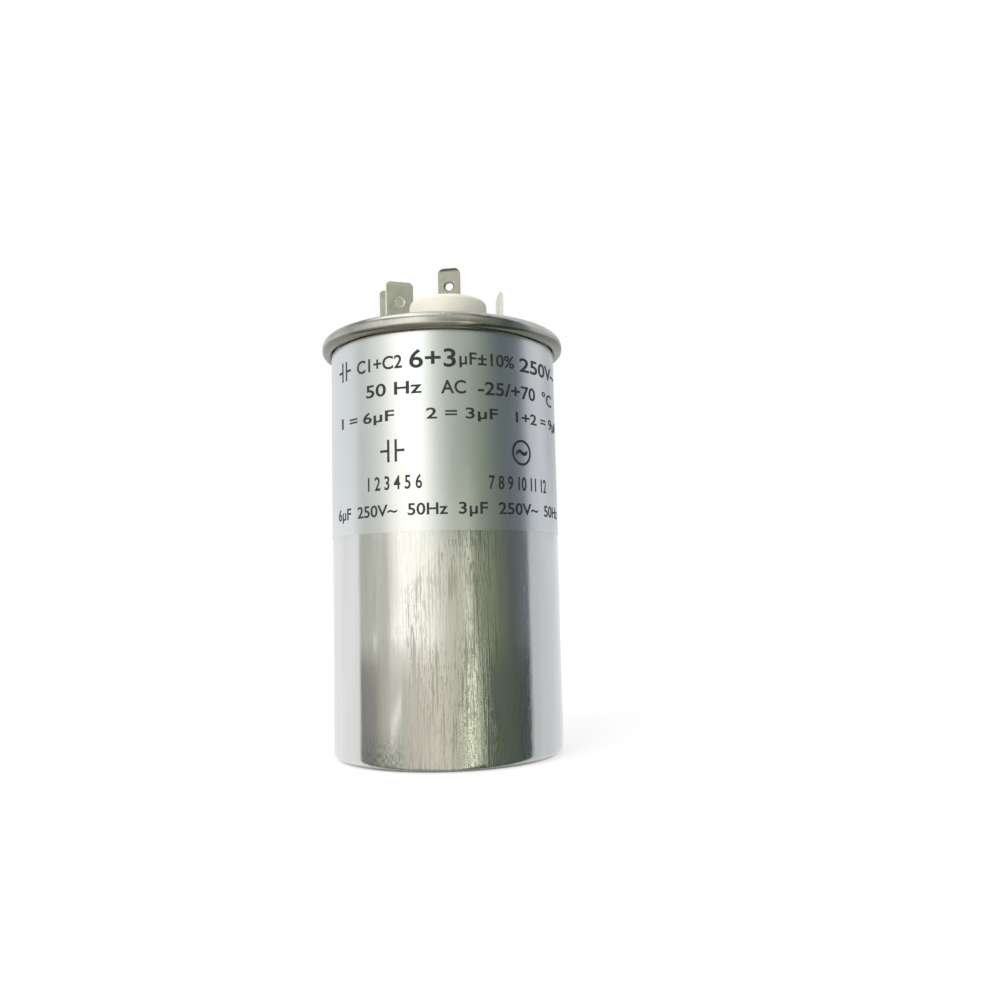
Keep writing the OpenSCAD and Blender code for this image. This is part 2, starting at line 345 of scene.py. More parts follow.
# The marks are only in front. Each pair holds the two places between which a mark fades in or out
FRONT_Y = (-0.77 * WALL_R * MM, -0.69 * WALL_R * MM)
MARKED_LEFT = (-9.0 * MM, -7.4 * MM)
MARKED_RIGHT = (8.0 * MM, 11.0 * MM)
CLEAN_ABOVE = 36 * MM
CLEAN_SLANT = 0.9
WORN_X = 4.3 * MM
WORN_HALF = (1.0 * MM, 4.4 * MM)
WORN_RAGGED = 1.3 * MM
WORN_Z = (6 * MM, 30 * MM)
# The painted dark reflection beside the foot fades out between these places
DARK_REFLECTION_RIGHT = (-9.8 * MM, -8.2 * MM)
DARK_REFLECTION_TOP = (3.0 * MM, 9.0 * MM)


def draw_marks(tree, flat, x, z):
    """Upright dashes and lines in patches, fainter at the sides and at the upper left."""
    dashes = spread(tree, grains(tree, 4600, (1, 1, 0.09), 2, vector=flat), 0, 1, 0.53, 0.63)
    lines = spread(tree, grains(tree, 2400, (1, 1, 0.03), 2, vector=flat), 0, 1, 0.53, 0.60)
    patches = spread(tree, grains(tree, 110, (1, 1, 0.45), 2, vector=flat), 0.3, 1, 0.38, 0.58)
    drawn = times(tree, combine(tree, "MAXIMUM", dashes, lines), patches)
    above = combine(tree, "MAXIMUM", combine(tree, "SUBTRACT", z, CLEAN_ABOVE))
    slanted = combine(tree, "SUBTRACT", x, times(tree, above, CLEAN_SLANT))
    from_left = spread(tree, slanted, 0.25, 1, *MARKED_LEFT)
    from_right = spread(tree, x, 1, 0.3, *MARKED_RIGHT)
    return times(tree, drawn, times(tree, from_left, from_right))


def short_scratches(tree, flat):
    """Thin slanting scratches in two directions."""
    left = spread(tree, grains(tree, 260, (9, 1, 0.5), 2, (0, 0.3, 0), flat), 0, 1, 0.68, 0.73)
    right = spread(tree, grains(tree, 230, (10, 1, 0.5), 2, (0, -0.45, 0), flat), 0, 1, 0.68, 0.73)
    return combine(tree, "MAXIMUM", left, right)


def worn_strip(tree, flat, x, z):
    """An upright strip with ragged sides, strongest at the foot."""
    aside = combine(tree, "ABSOLUTE", combine(tree, "SUBTRACT", x, WORN_X))
    ragged = spread(tree, grains(tree, 600, (1, 1, 0.25), 3, vector=flat), -WORN_RAGGED, WORN_RAGGED)
    strip = spread(tree, combine(tree, "ADD", aside, ragged), 1, 0, *WORN_HALF)
    return times(tree, times(tree, strip, strip), spread(tree, z, 1, 0.15, *WORN_Z))


def foot_dark_reflection(tree, flat, x, z):
    """A mottled patch at the left of the foot, a painted dark reflection."""
    corner = times(tree, spread(tree, x, 1, 0, *DARK_REFLECTION_RIGHT), spread(tree, z, 1, 0, *DARK_REFLECTION_TOP))
    mottle = spread(tree, grains(tree, 2700, (1, 1, 0.4), 3, vector=flat), 0.1, 0.8, 0.42, 0.60)
    return times(tree, corner, mottle)


# %% Finish of the drawn aluminium
# Painted shade darkens the foot of the can between these two heights
FOOT_SHADE_Z = (0.45 * MM, 1.0 * MM)
MARK_DEPTH = 0.010 * MM
PIT_DEPTH = 0.012 * MM
SCRATCH_DEPTH = 0.004 * MM
# The worn strip is paler: real wear, and partly a painted highlight
WORN_AND_HIGHLIT_TONE = (0.97, 0.98, 0.92, 1)
PIT_TONE = (0.30, 0.33, 0.25, 1)
MARK_TONE = (0.26, 0.26, 0.22, 1)
DARK_REFLECTION_TONE = (0.34, 0.38, 0.33, 1)
FOOT_SHADE_TONE = (0.10, 0.09, 0.07, 1)


def drawn_aluminium():
    """Bright drawn metal with its lines, scratches, a worn strip with a painted highlight, a painted dark
    reflection and painted shade at its foot.
    """
    material, tree = start_finish("drawn_aluminium", metallic=1.0)
    x, y, z = axes(tree)
    flat = unrolled(tree)
    in_front = spread(tree, y, 1, 0, *FRONT_Y)
    marks = times(tree, draw_marks(tree, flat, x, z), in_front)
    worn = times(tree, worn_strip(tree, flat, x, z), in_front)
    dark_reflection = times(tree, foot_dark_reflection(tree, flat, x, z), in_front)
    dents = combine(tree, "SUBTRACT", grains(tree, 4000, detail=2), 0.5)
    pits = times(tree, spread(tree, grains(tree, 3900, detail=3), 0, 1, 0.49, 0.57), worn)
    bands = grains(tree, 260, (1, 1, 0.06), 2, vector=flat)

    sheen = tones(tree, bands, (0.3, (0.74, 0.74, 0.72)), (0.7, (0.82, 0.82, 0.81)))
    # Real wear, made paler in part as a painted highlight
    rubbed = blend(tree, worn, sheen, WORN_AND_HIGHLIT_TONE)
    pitted = blend(tree, times(tree, pits, 0.8), rubbed, PIT_TONE)
    lined = blend(tree, times(tree, marks, 0.65), pitted, MARK_TONE)
    # A painted dark reflection darkens the metal beside the foot
    reflected_dark = blend(tree, dark_reflection, lined, DARK_REFLECTION_TONE)
    # Painted shade darkens the foot
    foot_shaded = blend(tree, spread(tree, z, 0.9, 0, *FOOT_SHADE_Z), reflected_dark, FOOT_SHADE_TONE)
    polish = combine(tree, "ADD", spread(tree, bands, 0.06, 0.10), times(tree, marks, 0.10))
    dulled = combine(tree, "ADD", polish, times(tree, worn, 0.08))
    grooves = relief(tree, marks, MARK_DEPTH)
    dented = relief(tree, times(tree, dents, worn), PIT_DEPTH, grooves)
    wire(material, foot_shaded, dulled, relief(tree, short_scratches(tree, flat), SCRATCH_DEPTH, dented))
    return material


CAN_FINISH = drawn_aluminium()

# %% Outline of the can
WALL_T = 0.6
BASE_CORNER = 1.8
BASE_RING = 4.0
SEAM_SQUEEZE = 0.28
SEAM_GAP = 0.05
SEAM_STRAIGHT = 0.5
LID_T = 0.8
HEAD_SPACE_Z = 82.2
WALL_ROWS = 48

label_low, label_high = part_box("label")
_, lid_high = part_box("lid")
LABEL_TOP = label_high.z / MM
CREST = lid_high.z / MM
NECK_R = WALL_R - SEAM_SQUEEZE
FLANGE_IN = LID_T / 2 + SEAM_GAP
FLANGE_OUT = FLANGE_IN + WALL_T
ROLL_IN = FLANGE_OUT + SEAM_GAP
UPPER_R = NECK_R + FLANGE_IN
UPPER_Z = CREST - ROLL_IN - LID_T
LOWER_IN = WALL_T / 2 + SEAM_GAP
LOWER_R = NECK_R + SEAM_GAP + LID_T + LOWER_IN
LOWER_Z = UPPER_Z - SEAM_STRAIGHT

can_outline = [(0, 0), (WALL_R - BASE_CORNER - BASE_RING, 0)]
can_outline += arc((WALL_R - BASE_CORNER, BASE_CORNER), BASE_CORNER, -90, 0, 14)
can_outline += line((WALL_R, BASE_CORNER), (WALL_R, LABEL_TOP), WALL_ROWS)[1:]
can_outline += [(NECK_R, LABEL_TOP)]
can_outline += arc((UPPER_R, UPPER_Z), FLANGE_IN, 180, 0, 8)
can_outline += [(UPPER_R + FLANGE_IN, LOWER_Z + SEAM_GAP), (UPPER_R + FLANGE_OUT, LOWER_Z + SEAM_GAP)]
can_outline += arc((UPPER_R, UPPER_Z), FLANGE_OUT, 0, 180, 10)
can_outline += [(NECK_R - WALL_T, HEAD_SPACE_Z), (0, HEAD_SPACE_Z)]
print("points in the can's outline:", len(can_outline))

# %% Spin the can and make its wall uneven
DENT_DEPTH = 0.05
DENT_SIZE = 11

unevenness = bpy.data.textures.new("unevenness", "CLOUDS")
unevenness.noise_scale = DENT_SIZE * MM


def make_uneven(piece):
    """Pushes a surface in, never out, by a soft pattern that all pieces on the wall share."""
    modify(piece, "DISPLACE", texture=unevenness, texture_coords="LOCAL", strength=DENT_DEPTH * MM,
           mid_level=1)


can_piece = spin(draw("drawn_can", can_outline))
make_uneven(can_piece)
dress(can_piece, CAN_FINISH, "can")

# %% [markdown]
# ## The seamed lid
# The lid is a pressed disc whose edge is rolled round the flange of the can in two steps, as on a food
# tin. It is one sheet of even thickness, so only the middle of the sheet is drawn, from the panel
# outwards and round both rolls, and Solidify gives the line its thickness. Rolling leaves fine lines
# round the rim.

# %% Finish of the rolled sheet
# Painted shade darkens the sheet under the seam and thins out between these two heights. It climbs towards
# the sides
SEAM_SHADE_Z = (88.75 * MM, 89.1 * MM)
SEAM_SHADE_CLIMB = 0.40 * MM
SEAM_SHADE_SIDE = (15 * MM, 25 * MM)
SEAM_SHADE_TONE = (0.20, 0.19, 0.155, 1)
BARE_TONE = (0.84, 0.83, 0.78, 1)
RING_DEPTH = 0.004 * MM
SPECK_DEPTH = 0.01 * MM


def rolled_aluminium():
    """Satin sheet with rings from the rolling, bare specks and painted shade under the seam."""
    material, tree = start_finish("rolled_aluminium", metallic=1.0)
    x, y, z = axes(tree)
    radius = add(tree, "VectorMath", {0: join_axes(tree, X=x, Y=y)}, operation="LENGTH").outputs["Value"]
    rings = grains(tree, 2400, vector=join_axes(tree, X=radius, Z=z))
    clouds = grains(tree, 240)
    specks = spread(tree, grains(tree, 1900, detail=2), 0, 1, 0.66, 0.74)
    climb = spread(tree, combine(tree, "ABSOLUTE", x), 0, SEAM_SHADE_CLIMB, *SEAM_SHADE_SIDE)
    seam_shade = spread(tree, combine(tree, "SUBTRACT", z, climb), 0.9, 0, *SEAM_SHADE_Z)

    sheen = tones(tree, clouds, (0.3, (0.50, 0.50, 0.47)), (0.7, (0.66, 0.66, 0.63)))
    rubbed = blend(tree, times(tree, specks, 0.7), sheen, BARE_TONE)
    polish = combine(tree, "ADD", spread(tree, clouds, 0.16, 0.28), spread(tree, rings, -0.03, 0.08))
    rolled = relief(tree, rings, RING_DEPTH)
    # Painted shade under the seam
    seam_shaded = blend(tree, seam_shade, rubbed, SEAM_SHADE_TONE)
    wire(material, seam_shaded, polish, relief(tree, specks, SPECK_DEPTH, rolled))
    return material


LID_FINISH = rolled_aluminium()

# %% Outline of the lid's sheet
PANEL_DROP = 3.6
SINK_R = 0.6
SINK_LEG = 0.3
PANEL_BEND_R = 0.3

half_sheet = LID_T / 2
CHUCK_R = NECK_R - WALL_T - SEAM_GAP - half_sheet
SINK_MID_R = CHUCK_R - half_sheet - SINK_R
LEG_R = SINK_MID_R - SINK_R - half_sheet
PANEL_R = LEG_R - half_sheet - PANEL_BEND_R
PANEL_Z = CREST - PANEL_DROP
PANEL_BEND_Z = PANEL_Z - LID_T - PANEL_BEND_R
SINK_Z = PANEL_BEND_Z - SINK_LEG

lid_outline = line((0, PANEL_Z - half_sheet), (PANEL_R, PANEL_Z - half_sheet), 6)
lid_outline += arc((PANEL_R, PANEL_BEND_Z), PANEL_BEND_R + half_sheet, 90, 0, 8)[1:]
lid_outline += arc((SINK_MID_R, SINK_Z), SINK_R + half_sheet, 180, 360, 14)
lid_outline += arc((UPPER_R, UPPER_Z), ROLL_IN + half_sheet, 180, 0, 26)
lid_outline += arc((LOWER_R, LOWER_Z), LOWER_IN + half_sheet, 0, -180, 18)
lid_outline += [(NECK_R + SEAM_GAP + half_sheet, UPPER_Z - SEAM_GAP)]
print("points in the lid's outline:", len(lid_outline))

# %% Spin the lid, give the sheet its thickness and punch the three holes
BUSHINGS = ("front", "left", "right")
BUSHING_HOLE_D = 10.2
HOLE_CUTTER_H = 4
BIG_HOLE_SIDES = 64


def middle_of(node):
    """Axis of a round solid, at height zero."""
    low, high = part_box(node)
    return Vector(((low.x + high.x) / 2, (low.y + high.y) / 2, 0))


bushing_axes = {side: middle_of("gasket_" + side) for side in BUSHINGS}

lid_piece = spin(draw("seamed_lid", lid_outline))
modify(lid_piece, "SOLIDIFY", thickness=LID_T * MM, offset=0, use_even_offset=True)
for side in BUSHINGS:
    hole_place = bushing_axes[side] + Vector((0, 0, PANEL_Z * MM))
    bpy.ops.mesh.primitive_cylinder_add(vertices=BIG_HOLE_SIDES, radius=BUSHING_HOLE_D / 2 * MM,
                                        depth=HOLE_CUTTER_H * MM, location=hole_place)
    cut_away(lid_piece, bpy.context.object)
tidy_mesh(lid_piece)
dress(lid_piece, LID_FINISH, "lid")

# %% [markdown]
# ## The label
# A silver film is glued round the upper half of the can, with its ends nearly meeting at the back. It is
# as shiny as the metal but a little rougher, so that reflections are soft in it. It is one line spun
# nearly all the way round, pushed in by the same unevenness as the wall that it lies on.

# %% Finish of the label's film
CREASE_DEPTH = 0.004 * MM
WEAVE_DEPTH = 0.0012 * MM


def silver_film():
    """Shiny film that is a little rough and softly creased."""
    material, tree = start_finish("silver_film", metallic=1.0)
    clouds = grains(tree, 120, (1, 1, 0.3), 2)
    creased = relief(tree, grains(tree, 420, (1, 1, 0.15), 2), CREASE_DEPTH)
    woven = relief(tree, grains(tree, 5000, detail=1), WEAVE_DEPTH, creased)
    sheen = tones(tree, clouds, (0.3, (0.82, 0.85, 0.85)), (0.7, (0.87, 0.90, 0.90)))
    wire(material, sheen, spread(tree, clouds, 0.24, 0.30), woven)
    return material


FILM_FINISH = silver_film()

# %% Spin the label
LABEL_T = 0.06
LABEL_JOINT = 1.5
LABEL_ROWS = 24

LABEL_R = label_high.x / MM
LABEL_LOW = label_low.z / MM
joint_angle = LABEL_JOINT / LABEL_R
label_mid_r = LABEL_R - LABEL_T / 2

label_piece = draw("film_label", line((label_mid_r, LABEL_LOW), (label_mid_r, LABEL_TOP), LABEL_ROWS))
spin(label_piece, angle=2 * math.pi - joint_angle)
make_uneven(label_piece)
modify(label_piece, "SOLIDIFY", thickness=LABEL_T * MM, offset=0)
move_to(label_piece, (0, 0, 0), math.pi / 2 + joint_angle / 2)
dress(label_piece, FILM_FINISH, "label")

# %% [markdown]
# ## The print
# Ratings of such a capacitor are printed on its label in dark ink: values, units, limits and a few
# symbols. Here they are plain example values and the textbook symbols of a capacitor and of alternating
# current. Each text is made flat, turned into a mesh, cut into narrow strips so that it can bend, and
# wrapped on the film.

# %% Finish of the ink
def dark_ink():
    """Dark print, a little paler in patches."""
    material, tree = start_finish("dark_ink")
    patches = grains(tree, 900)
    shade = tones(tree, patches, (0.3, (0.012, 0.013, 0.016)), (0.75, (0.040, 0.042, 0.048)))
    wire(material, shade, spread(tree, patches, 0.42, 0.58))
    return material


INK_FINISH = dark_ink()

# %% Texts and symbols of the print
# Each text, the angles of its ends from the front in degrees, the height of its middle and of its figures
TEXTS = (
    ("C1+C2", -45.6, -19.3, 81.9, 2.8),
    ("6+3", -15.8, 6.0, 82.2, 3.9),
    ("µF±10%", 7.6, 36.0, 81.8, 3.2),
    ("250V~", 39.5, 78.0, 82.0, 3.0),
    ("50 Hz", -39.5, -10.0, 76.4, 2.7),
    ("AC", -1.1, 10.5, 76.2, 2.8),
    ("-25/+70", 16.2, 50.5, 76.1, 2.8),
    ("°C", 57.0, 70.0, 76.1, 2.8),
    ("1 = 6µF", -59.5, -23.7, 70.7, 2.8),
    ("2 = 3µF", -8.2, 26.1, 70.6, 2.8),
    ("1+2 = 9µF", 36.3, 80.0, 70.5, 2.8),
    ("1 2 3 4 5 6", -38.8, -10.5, 57.2, 2.9),
    ("7 8 9 10 11 12", 20.6, 58.8, 56.9, 2.9),
    ("6µF  250V~  50Hz", -64.2, 1.1, 51.4, 3.0),
    ("3µF  250V~  50Hz", 6.1, 76.0, 51.4, 3.0),
)

# Angle, height and size of each symbol
CAPACITOR_SYMBOLS = ((-56.4, 82.0, 4.2), (-25.0, 63.7, 4.6))
CURRENT_SYMBOL = (39.6, 63.4, 5.4)
print("texts:", len(TEXTS), "symbols:", len(CAPACITOR_SYMBOLS) + 1)

# %% Helpers for flat print
TEXT_SIZE = 4
TEXT_WEIGHT = 0.06
RING_SIDES = 48


def flat_size(piece):
    """Lowest and highest corner of a flat mesh."""
    xs = [vertex.co.x for vertex in piece.data.vertices]
    zs = [vertex.co.z for vertex in piece.data.vertices]
    return min(xs), min(zs), max(xs), max(zs)


def stand_text(words):
    """A text as an upright flat mesh, facing the front."""
    bpy.ops.object.select_all(action="DESELECT")
    bpy.ops.object.text_add(rotation=(math.pi / 2, 0, 0))
    text = bpy.context.object
    text.data.body = words
    text.data.size = TEXT_SIZE * MM
    text.data.offset = TEXT_WEIGHT * MM
    text.data.resolution_u = 4
    bpy.ops.object.convert(target="MESH")
    bpy.ops.object.transform_apply(location=True, rotation=True, scale=True)
    return bpy.context.object


def fit_flat(piece, left, right, middle_z, height):
    """Stretches and moves a flat mesh to a stretch of girth and a height, all in millimetres."""
    low_x, low_z, high_x, high_z = flat_size(piece)
    wide = (right - left) * MM / (high_x - low_x)
    tall = height * MM / (high_z - low_z)
    piece.scale = (wide, 1, tall)
    piece.location = (left * MM - low_x * wide, 0, middle_z * MM - (low_z + high_z) / 2 * tall)
    bpy.ops.object.transform_apply(location=True, rotation=True, scale=True)


def bar(left, low, right, high):
    """A plain rectangle of print, in millimetres along the girth and up."""
    bpy.ops.object.select_all(action="DESELECT")
    bpy.ops.mesh.primitive_plane_add(size=1, rotation=(math.pi / 2, 0, 0))
    piece = bpy.context.object
    piece.scale = ((right - left) * MM, (high - low) * MM, 1)
    piece.location = ((left + right) / 2 * MM, 0, (low + high) / 2 * MM)
    bpy.ops.object.transform_apply(location=True, rotation=True, scale=True)
    return piece


def ring(middle, up, outer, width):
    """A plain ring of print, made by insetting a disc and deleting its middle."""
    bpy.ops.object.select_all(action="DESELECT")
    bpy.ops.mesh.primitive_circle_add(vertices=RING_SIDES, radius=outer * MM, fill_type="NGON",
                                      location=(middle * MM, 0, up * MM), rotation=(math.pi / 2, 0, 0))
    piece = bpy.context.object
    bpy.ops.object.mode_set(mode="EDIT")
    bpy.ops.mesh.select_all(action="SELECT")
    bpy.ops.mesh.inset(thickness=width * MM)
    bpy.ops.mesh.delete(type="FACE")
    bpy.ops.object.mode_set(mode="OBJECT")
    bpy.ops.object.transform_apply(location=True, rotation=True, scale=True)
    return piece


# %% Write the texts and symbols
RULE_W = 0.5

# Parts of the symbols, as shares of a symbol's size
PLATE_GAP = 0.13
PLATE_HALF = 0.5
LEAD_END = 0.6
WAVE_HALF = 0.3
WAVE_H = 0.26


def along(angle):
    """Millimetres of girth from the front to an angle in degrees."""
    return math.radians(angle) * LABEL_R


def capacitor_symbol(angle, up, size):
    """Two facing plates with a lead on each."""
    middle = along(angle)
    gap = size * PLATE_GAP
    plate = size * PLATE_HALF
    lead = size * LEAD_END
    return [
        bar(middle - gap - RULE_W, up - plate, middle - gap, up + plate),
        bar(middle + gap, up - plate, middle + gap + RULE_W, up + plate),
        bar(middle - lead, up - RULE_W / 2, middle - gap - RULE_W, up + RULE_W / 2),
        bar(middle + gap + RULE_W, up - RULE_W / 2, middle + lead, up + RULE_W / 2),
    ]


def current_symbol(angle, up, size):
    """A wave in a ring, for alternating current."""
    middle = along(angle)
    wave = stand_text("~")
    fit_flat(wave, middle - size * WAVE_HALF, middle + size * WAVE_HALF, up, size * WAVE_H)
    return [ring(middle, up, size / 2, RULE_W), wave]


marks = []
for words, start, end, up, tall in TEXTS:
    marks.append(stand_text(words))
    fit_flat(marks[-1], along(start), along(end), up, tall)
for symbol in CAPACITOR_SYMBOLS:
    marks += capacitor_symbol(*symbol)
marks += current_symbol(*CURRENT_SYMBOL)

bpy.ops.object.select_all(action="DESELECT")
for mark in marks:
    mark.select_set(True)
bpy.context.view_layer.objects.active = marks[0]
bpy.ops.object.join()
print_piece = bpy.context.object
print_piece.name = "label_print"
print("marks joined:", len(marks))

# %% Wrap the print on the label
INK_T = 0.06
INK_OUT = 0.01
STRIP_W = 0.6
CUT_TOLERANCE = 0.0001 * MM
INK_MID_R = LABEL_R + INK_OUT - INK_T / 2

first_x, _, last_x, _ = flat_size(print_piece)
edit_all(print_piece)
for strip in range(1, int((last_x - first_x) / (STRIP_W * MM))):
    bpy.ops.mesh.select_all(action="SELECT")
    bpy.ops.mesh.bisect(plane_co=(first_x + strip * STRIP_W * MM, 0, 0), plane_no=(1, 0, 0),
                        threshold=CUT_TOLERANCE)
bpy.ops.object.mode_set(mode="OBJECT")
for vertex in print_piece.data.vertices:
    turn = vertex.co.x / (LABEL_R * MM)
    vertex.co.x = math.sin(turn) * INK_MID_R * MM
    vertex.co.y = -math.cos(turn) * INK_MID_R * MM
modify(print_piece, "SOLIDIFY", thickness=INK_T * MM, offset=0)
dress(print_piece, INK_FINISH)

# %% [markdown]
# ## The bushings
# Three white mouldings carry the terminals through the lid and keep them apart from it. Each is turned
# from one half section: a slightly tapered body with a rounded edge, a groove for the rubber ring under
# its foot, and a neck that passes through the lid. The side bushings have a bore for a rivet, the front
# one a slot for a tab.

# %% Finish of the ivory plastic
FLECK_TONE = (0.62, 0.56, 0.42, 1)
GRAIN_DEPTH = 0.004 * MM


def ivory_plastic():
    """Moulded plastic that lets a little light in, with a fine grain and a few flecks."""
    material, tree = start_finish("ivory_plastic", subsurface_weight=0.2, subsurface_scale=1.0 * MM,
                                  subsurface_radius=(1.0, 0.8, 0.5))
    clouds = grains(tree, 160)
    flecks = spread(tree, grains(tree, 1100, detail=2), 0, 1, 0.68, 0.76)
    ivory = tones(tree, clouds, (0.3, (0.84, 0.81, 0.71)), (0.7, (0.88, 0.86, 0.78)))
    flecked = blend(tree, times(tree, flecks, 0.3), ivory, FLECK_TONE)
    grained = relief(tree, grains(tree, 2600, detail=2), GRAIN_DEPTH)
    wire(material, flecked, spread(tree, clouds, 0.32, 0.45), grained)
    return material


IVORY_FINISH = ivory_plastic()

# %% Spin the bushings
BUSHING_FOOT_R = 8.6
BUSHING_TOP_R = 8.35
BUSHING_EDGE_R = 1.0
BUSHING_NECK_R = 5.0
GROOVE_R = 6.8
GROOVE_H = 0.8
RIVET_BORE_R = 1.38
SLOT_W = 3.8
SLOT_T = 1.0
SLOT_SPARE = 2
BUSHING_STEPS = 128

bushing_low, bushing_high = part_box("bushing_front")
NECK_END = bushing_low.z / MM
BUSHING_Z = bushing_high.z / MM
edge_middle = (BUSHING_TOP_R - BUSHING_EDGE_R, BUSHING_Z - BUSHING_EDGE_R)


def bushing(name, bore_r):
    """A bushing about the Z axis, with a bore or with none."""
    outline = [(bore_r, NECK_END), (BUSHING_NECK_R, NECK_END), (BUSHING_NECK_R, PANEL_Z + GROOVE_H)]
    outline += [(GROOVE_R, PANEL_Z + GROOVE_H), (GROOVE_R, PANEL_Z), (BUSHING_FOOT_R, PANEL_Z)]
    outline += arc(edge_middle, BUSHING_EDGE_R, 0, 90, 8)
    outline += [(bore_r, BUSHING_Z)]
    outline += [(bore_r, NECK_END)] if bore_r else []
    return spin(draw(name, outline), steps=BUSHING_STEPS)


front_bushing = bushing("front_bushing", 0)
bpy.ops.mesh.primitive_cube_add(size=1, location=(0, 0, (NECK_END + BUSHING_Z) / 2 * MM))
slot_cutter = bpy.context.object
slot_cutter.scale = (SLOT_W * MM, SLOT_T * MM, (BUSHING_Z - NECK_END + SLOT_SPARE) * MM)
bpy.ops.object.transform_apply(location=True, rotation=True, scale=True)
cut_away(front_bushing, slot_cutter)
bushing_pieces = {
    "front": front_bushing,
    "left": bushing("left_bushing", RIVET_BORE_R),
    "right": bushing("right_bushing", RIVET_BORE_R),
}
print("bushings from", round(NECK_END, 2), "to", round(BUSHING_Z, 2), "mm")

# %% [markdown]
# ## The terminals
# Each terminal is cut from a tinned brass strip and folded. That is how it is modelled too: the middle
# line of the folded strip is drawn from the side, widened, thickened, trimmed to the outline that it
# shows from the front, and punched. The tips are thinned on both faces, so that a receptacle slides on,
# and all edges get a fine bevel, because a sheared edge that catches the light is what makes it look like
# metal. The sheared sides of the outer terminals get a pale, barely metallic finish, a painted highlight,
# so they are brighter than their faces. The front one is a darker copy of the tin, painted shade, with
# more painted shade at its tip.

# %% Finish of the tinned brass
SPOT_TONE = (0.86, 0.85, 0.78, 1)
TIP_SHADE_TONE = (0.09, 0.09, 0.07, 1)
BRUSH_DEPTH = 0.003 * MM
TIN_DEPTH = 0.02 * MM
BURR_DEPTH = 0.01 * MM


def tinned_brass(name, dark, light, shade_between=None):
    """Dull tin with fine lines and bright spots. Painted shade sets in between two heights, if given."""
    material, tree = start_finish(name, metallic=1.0)
    clouds = grains(tree, 500)
    lines = grains(tree, 4200, (1, 1, 0.05), 2)
    spots = spread(tree, grains(tree, 1500, detail=2), 0, 1, 0.66, 0.74)
    sheen = tones(tree, clouds, (0.3, dark), (0.7, light))
    colour = blend(tree, times(tree, spots, 0.4), sheen, SPOT_TONE)
    if shade_between:
        _, _, height = axes(tree)
        # Painted shade between the two heights
        colour = blend(tree, spread(tree, height, 0, 0.85, *shade_between), colour, TIP_SHADE_TONE)
    dull = combine(tree, "ADD", spread(tree, clouds, 0.26, 0.38), spread(tree, lines, -0.03, 0.06))
    brushed = relief(tree, lines, BRUSH_DEPTH)
    wire(material, colour, dull, relief(tree, clouds, TIN_DEPTH, brushed))
    return material


def highlit_sheared_edge():
    """The rough side of a cut strip, made pale and barely metallic as a painted highlight."""
    material, tree = start_finish("highlit_sheared_edge", metallic=0.2)
    burr = grains(tree, 3000, (1, 1, 0.2), 2)
    shade = tones(tree, burr, (0.3, (0.88, 0.88, 0.80)), (0.7, (0.96, 0.96, 0.90)))
    wire(material, shade, spread(tree, burr, 0.40, 0.55), relief(tree, burr, BURR_DEPTH))
    return material


FRONT_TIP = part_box("terminal_front")[1].z
# Painted shade darkens the front tab's tip between these heights
SHADED_TIP = (FRONT_TIP - 0.85 * MM, FRONT_TIP - 0.45 * MM)

EDGE_HIGHLIGHT_FINISH = highlit_sheared_edge()
# The front terminal's tin is a darker copy of the same tin, painted shade
SHADED_FRONT_FINISH = tinned_brass("shaded_front_tin", (0.31, 0.31, 0.26), (0.40, 0.40, 0.34), SHADED_TIP)
SIDE_FINISH = tinned_brass("tinned_brass", (0.78, 0.77, 0.67), (0.91, 0.90, 0.81))
RIVET_FINISH = tinned_brass("rivet_brass", (0.60, 0.57, 0.45), (0.72, 0.69, 0.58))

# %% Helpers for folded strips
TAB_T = 0.8
BEND_R = 0.5

# Sheets reach this much past what is kept of them, and cutters this far through what they cut
SPARE = 1
CUTTER_REACH = 20
BASE_CUTTER_REACH = 4

bend_mid = BEND_R + TAB_T / 2


def widen(piece, width):
    """Makes a sheet of a folded line, to both sides of it, and gives it its thickness."""
    edit_all(piece)
    bpy.ops.transform.translate(value=(-width / 2 * MM, 0, 0))
    bpy.ops.mesh.extrude_edges_move(TRANSFORM_OT_translate={"value": (width * MM, 0, 0)})
    bpy.ops.object.mode_set(mode="OBJECT")
    tidy_mesh(piece)
    modify(piece, "SOLIDIFY", thickness=TAB_T * MM, offset=0, use_even_offset=True)


def trim(piece, outline):
    """Keeps only what lies inside an outline seen from the front."""
    cutter = draw("trimmer", outline + outline[:1])
    edit_all(cutter)
    bpy.ops.mesh.remove_doubles(threshold=MERGE_DISTANCE)
    bpy.ops.mesh.edge_face_add()
    bpy.ops.transform.translate(value=(0, -CUTTER_REACH / 2 * MM, 0))
    bpy.ops.mesh.extrude_region_move(TRANSFORM_OT_translate={"value": (0, CUTTER_REACH * MM, 0)})
    bpy.ops.object.mode_set(mode="OBJECT")
    tidy_mesh(cutter)
    cut_away(piece, cutter, keep_inside=True)


# %% Helpers for holes, tips and edges
HOLE_SIDES = 40
SINK = 0.24
TIP_BEVEL_H = 0.9
TIP_THINNED = 0.45
TIP_CLEARANCE = 0.01
EDGE_BEVEL = 0.07
SHARP_ANGLE = math.radians(28)
FLAT_ANGLE = math.radians(50)


def punch_tab(piece, diameter, up, across=0):
    """Punches a round hole from front to back, through every tab at this height."""
    bpy.ops.mesh.primitive_cylinder_add(vertices=HOLE_SIDES, radius=diameter / 2 * MM,
                                        depth=CUTTER_REACH * MM, location=(across * MM, 0, up * MM),
                                        rotation=(math.pi / 2, 0, 0))
    cut_away(piece, bpy.context.object)


def punch_base(piece, diameter):
    """Punches a round hole down through a base."""
    bpy.ops.mesh.primitive_cylinder_add(vertices=HOLE_SIDES, radius=diameter / 2 * MM,
                                        depth=BASE_CUTTER_REACH * MM)
    cut_away(piece, bpy.context.object)


